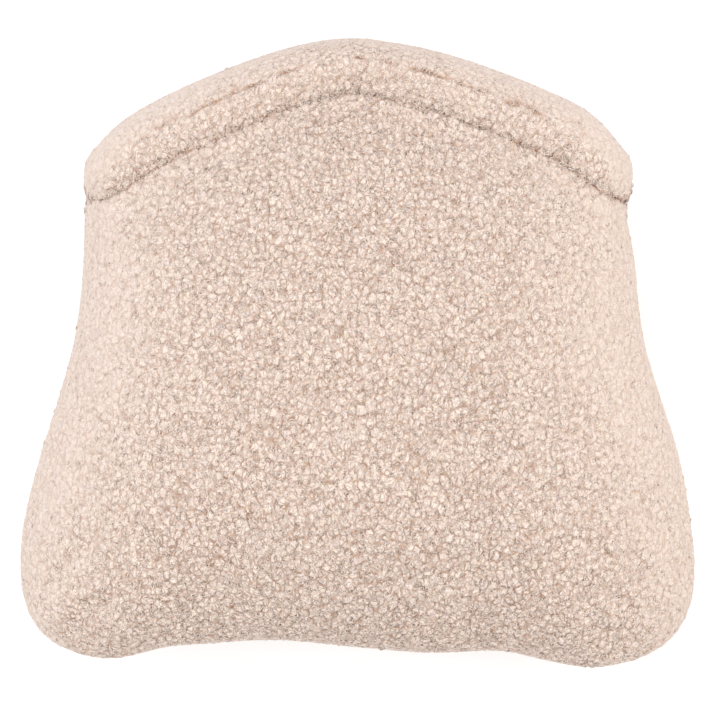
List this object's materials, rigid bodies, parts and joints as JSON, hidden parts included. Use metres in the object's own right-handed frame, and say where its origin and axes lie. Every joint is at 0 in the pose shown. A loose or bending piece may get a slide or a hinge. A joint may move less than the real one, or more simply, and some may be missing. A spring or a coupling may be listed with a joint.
{
  "type": "beehive cushion",
  "caption": "Filled cushion in curly pile, lying on its back: it widens like a bell to two full lower corners, with a stuffed roll sewn along its arched head.",
  "frame": {"origin": "middle of the box round the cushion's footprint, on the surface that it lies on", "axes": "+X across the cushion, to the right seen face on; +Y towards the roll at its head; +Z out of its face"},
  "size_m": [0.4794, 0.446, 0.14],
  "materials": {
    "curly_pile": "short curly cream pile, matt, paler at the edges"
  },
  "bodies": {
    "root": {"filled_body": "curly_pile", "head_roll": "curly_pile"}
  },
  "joints": []
}
